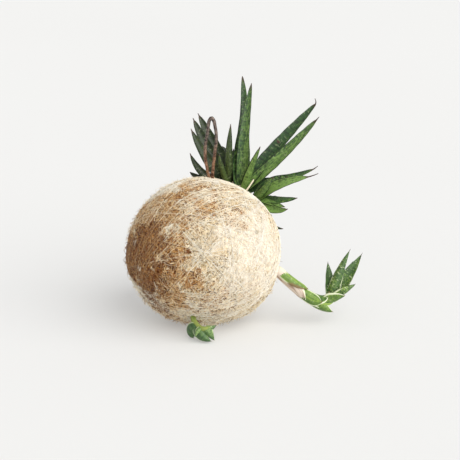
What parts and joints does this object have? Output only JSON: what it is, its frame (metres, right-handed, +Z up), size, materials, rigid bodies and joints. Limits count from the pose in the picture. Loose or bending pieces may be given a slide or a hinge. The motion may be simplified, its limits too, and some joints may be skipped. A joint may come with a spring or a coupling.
{
  "type": "kokedama moss ball plant",
  "caption": "Round ball of soil wrapped in dried moss and thread, with stiff pointed rosettes growing from the top, a runner with a small fan at one side and a wire loop to hang it by.",
  "frame": {"origin": "middle of the flat spot under the ball, on the surface that it rests on", "axes": "+Z up through the ball and along the wire loop, -Y towards the front, where the bottom shoot lies, +X towards the runner"},
  "size_m": [0.1481, 0.1199, 0.1451],
  "materials": {
    "moss": "dry pale moss and fibre",
    "soil": "damp crumbly soil",
    "thread": "off-white cotton",
    "wire": "dull brown copper",
    "shaded_leaf": "satin living leaf, dark green",
    "leaf": "satin living leaf, mottled green",
    "young_leaf": "satin living leaf, bright green"
  },
  "bodies": {
    "root": {"moss_wrap": "moss", "root_ball": "soil", "winding_thread": "thread", "wire_loop": "wire", "shoot_left": "shaded_leaf", "shoot_tall": "leaf", "shoot_right": "leaf", "runner_shoot": "young_leaf", "bottom_shoot": "young_leaf"}
  },
  "joints": []
}
